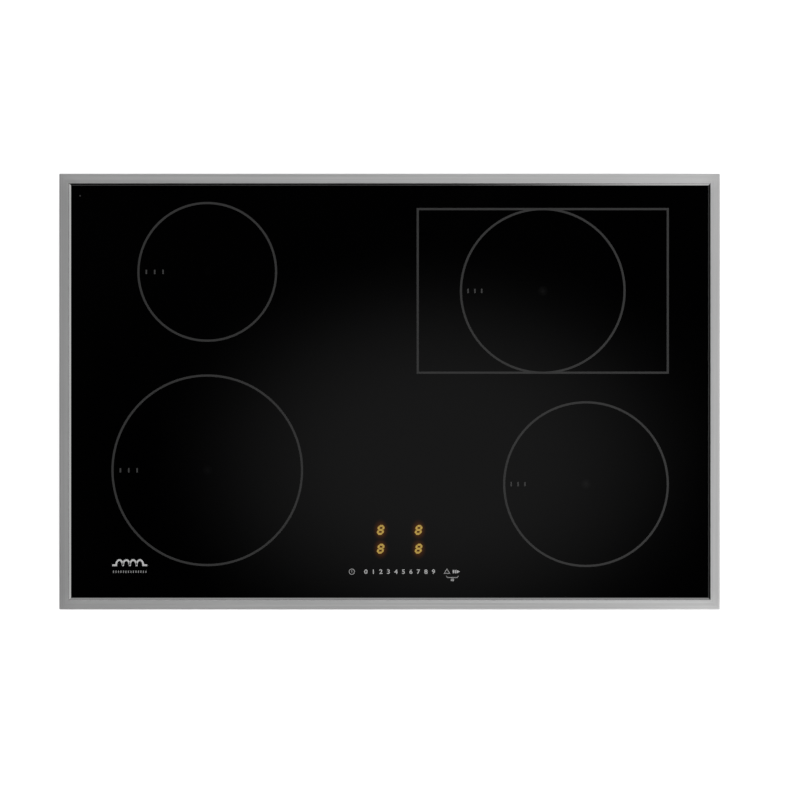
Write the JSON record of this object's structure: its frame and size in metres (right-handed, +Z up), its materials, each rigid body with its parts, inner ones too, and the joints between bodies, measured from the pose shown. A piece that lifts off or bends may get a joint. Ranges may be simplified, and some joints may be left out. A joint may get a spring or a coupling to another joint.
{
  "type": "built-in induction cooktop",
  "caption": "Drop-in induction cooktop: steel-framed black glass over sprung coils, power electronics and blowers in a shallow steel pan.",
  "frame": {"origin": "middle of the footprint, at the height of the casing's feet", "axes": "+X to the user's right, +Y to the back of the worktop, +Z up out of the glass; the user stands at -Y"},
  "size_m": [0.764, 0.504, 0.051],
  "materials": {
    "steel_frame": "brushed along each side",
    "glass": "polished black glass-ceramic",
    "silicone": "matte silicone bead",
    "seal_foam": "closed-cell foam",
    "galvanised_steel": "zinc-coated sheet",
    "deck_aluminium": "rolled sheet",
    "sink_aluminium": "extruded",
    "copper_litz": "enamelled copper litz wire",
    "ferrite": "sintered, dark grey",
    "mica": "pressed mica sheet",
    "sensor_ceramic": "unglazed",
    "spring_steel": "drawn wire",
    "clip_steel": "spring steel strip",
    "carrier_plastic": "glass-filled moulding",
    "black_plastic": "fine texture",
    "grey_plastic": "fine texture",
    "white_plastic": "satin",
    "conductive_foam": "soft contact strip",
    "circuit_board": "green solder mask"
  },
  "bodies": {
    "casing": {"steel_frame": "steel_frame", "glass_panel": "glass", "glass_bond": "silicone", "worktop_seal": "seal_foam", "support_frame": "galvanised_steel", "base_pan": "galvanised_steel", "coil_deck": "deck_aluminium", "fan_housing_left": "black_plastic", "power_board_left": "circuit_board", "heat_sink_left": "sink_aluminium", "fan_housing_right": "black_plastic", "power_board_right": "circuit_board", "heat_sink_right": "sink_aluminium", "filter_board": "circuit_board", "terminal_block": "white_plastic", "terminal_cover": "black_plastic", "ui_tray": "grey_plastic", "ui_board": "circuit_board", "display_module": "white_plastic", "touch_contacts": "conductive_foam", "coil_spring_front_left_1": "spring_steel", "coil_spring_front_left_2": "spring_steel", "coil_spring_front_left_3": "spring_steel", "coil_spring_rear_left_1": "spring_steel", "coil_spring_rear_left_2": "spring_steel", "coil_spring_rear_left_3": "spring_steel", "coil_spring_front_right_1": "spring_steel", "coil_spring_front_right_2": "spring_steel", "coil_spring_front_right_3": "spring_steel", "coil_spring_rear_right_1": "spring_steel", "coil_spring_rear_right_2": "spring_steel", "coil_spring_rear_right_3": "spring_steel"},
    "coil_front_left": {"coil_carrier_front_left": "carrier_plastic", "winding_front_left": "copper_litz", "ferrite_bars_front_left": "ferrite", "mica_sheet_front_left": "mica"},
    "sensor_front_left": {"temperature_sensor_front_left": "sensor_ceramic"},
    "coil_rear_left": {"coil_carrier_rear_left": "carrier_plastic", "winding_rear_left": "copper_litz", "ferrite_bars_rear_left": "ferrite", "mica_sheet_rear_left": "mica"},
    "sensor_rear_left": {"temperature_sensor_rear_left": "sensor_ceramic"},
    "coil_front_right": {"coil_carrier_front_right": "carrier_plastic", "winding_front_right": "copper_litz", "ferrite_bars_front_right": "ferrite", "mica_sheet_front_right": "mica"},
    "sensor_front_right": {"temperature_sensor_front_right": "sensor_ceramic"},
    "coil_rear_right": {"coil_carrier_rear_right": "carrier_plastic", "winding_rear_right": "copper_litz", "ferrite_bars_rear_right": "ferrite", "mica_sheet_rear_right": "mica", "side_winding_left": "copper_litz", "side_winding_right": "copper_litz"},
    "sensor_rear_right": {"temperature_sensor_rear_right": "sensor_ceramic"},
    "fan_left": {"fan_rotor_left": "grey_plastic"},
    "fan_right": {"fan_rotor_right": "grey_plastic"},
    "fixing_clip_front_left": {"clip_front_left": "clip_steel"},
    "fixing_clip_rear_left": {"clip_rear_left": "clip_steel"},
    "fixing_clip_front_right": {"clip_front_right": "clip_steel"},
    "fixing_clip_rear_right": {"clip_rear_right": "clip_steel"}
  },
  "joints": [
    {"name": "fan_left_spin", "type": "hinge", "parent": "casing", "child": "fan_left", "pos_m": [-0.062, 0, 0.0123], "axis": [0, 0, 1], "continuous": true},
    {"name": "fan_right_spin", "type": "hinge", "parent": "casing", "child": "fan_right", "pos_m": [0.062, 0, 0.0123], "axis": [0, 0, 1], "continuous": true},
    {"name": "coil_front_left_float", "type": "slide", "parent": "casing", "child": "coil_front_left", "axis": [0, 0, 1], "range_m": [-0.0025, 0], "stiffness_N_per_m": 4000, "springref_m": 0.00375, "deforming": ["coil_spring_front_left_1", "coil_spring_front_left_2", "coil_spring_front_left_3"]},
    {"name": "sensor_front_left_plunge", "type": "slide", "parent": "coil_front_left", "child": "sensor_front_left", "axis": [0, 0, 1], "range_m": [-0.0015, 0], "stiffness_N_per_m": 300, "springref_m": 0.003},
    {"name": "coil_rear_left_float", "type": "slide", "parent": "casing", "child": "coil_rear_left", "axis": [0, 0, 1], "range_m": [-0.0025, 0], "stiffness_N_per_m": 4000, "springref_m": 0.00375, "deforming": ["coil_spring_rear_left_1", "coil_spring_rear_left_2", "coil_spring_rear_left_3"]},
    {"name": "sensor_rear_left_plunge", "type": "slide", "parent": "coil_rear_left", "child": "sensor_rear_left", "axis": [0, 0, 1], "range_m": [-0.0015, 0], "stiffness_N_per_m": 300, "springref_m": 0.003},
    {"name": "coil_front_right_float", "type": "slide", "parent": "casing", "child": "coil_front_right", "axis": [0, 0, 1], "range_m": [-0.0025, 0], "stiffness_N_per_m": 4000, "springref_m": 0.00375, "deforming": ["coil_spring_front_right_1", "coil_spring_front_right_2", "coil_spring_front_right_3"]},
    {"name": "sensor_front_right_plunge", "type": "slide", "parent": "coil_front_right", "child": "sensor_front_right", "axis": [0, 0, 1], "range_m": [-0.0015, 0], "stiffness_N_per_m": 300, "springref_m": 0.003},
    {"name": "coil_rear_right_float", "type": "slide", "parent": "casing", "child": "coil_rear_right", "axis": [0, 0, 1], "range_m": [-0.0025, 0], "stiffness_N_per_m": 4000, "springref_m": 0.00375, "deforming": ["coil_spring_rear_right_1", "coil_spring_rear_right_2", "coil_spring_rear_right_3"]},
    {"name": "sensor_rear_right_plunge", "type": "slide", "parent": "coil_rear_right", "child": "sensor_rear_right", "axis": [0, 0, 1], "range_m": [-0.0015, 0], "stiffness_N_per_m": 300, "springref_m": 0.003},
    {"name": "clip_front_left_flex", "type": "hinge", "parent": "casing", "child": "fixing_clip_front_left", "pos_m": [-0.3718, -0.15, 0.011], "axis": [0, 1, 0], "range_deg": [0, 13], "stiffness_Nm_per_rad": 1, "springref_deg": -3.44},
    {"name": "clip_rear_left_flex", "type": "hinge", "parent": "casing", "child": "fixing_clip_rear_left", "pos_m": [-0.3718, 0.15, 0.011], "axis": [0, 1, 0], "range_deg": [0, 13], "stiffness_Nm_per_rad": 1, "springref_deg": -3.44},
    {"name": "clip_front_right_flex", "type": "hinge", "parent": "casing", "child": "fixing_clip_front_right", "pos_m": [0.3718, -0.15, 0.011], "axis": [0, -1, 0], "range_deg": [0, 13], "stiffness_Nm_per_rad": 1, "springref_deg": -3.44},
    {"name": "clip_rear_right_flex", "type": "hinge", "parent": "casing", "child": "fixing_clip_rear_right", "pos_m": [0.3718, 0.15, 0.011], "axis": [0, -1, 0], "range_deg": [0, 13], "stiffness_Nm_per_rad": 1, "springref_deg": -3.44}
  ]
}
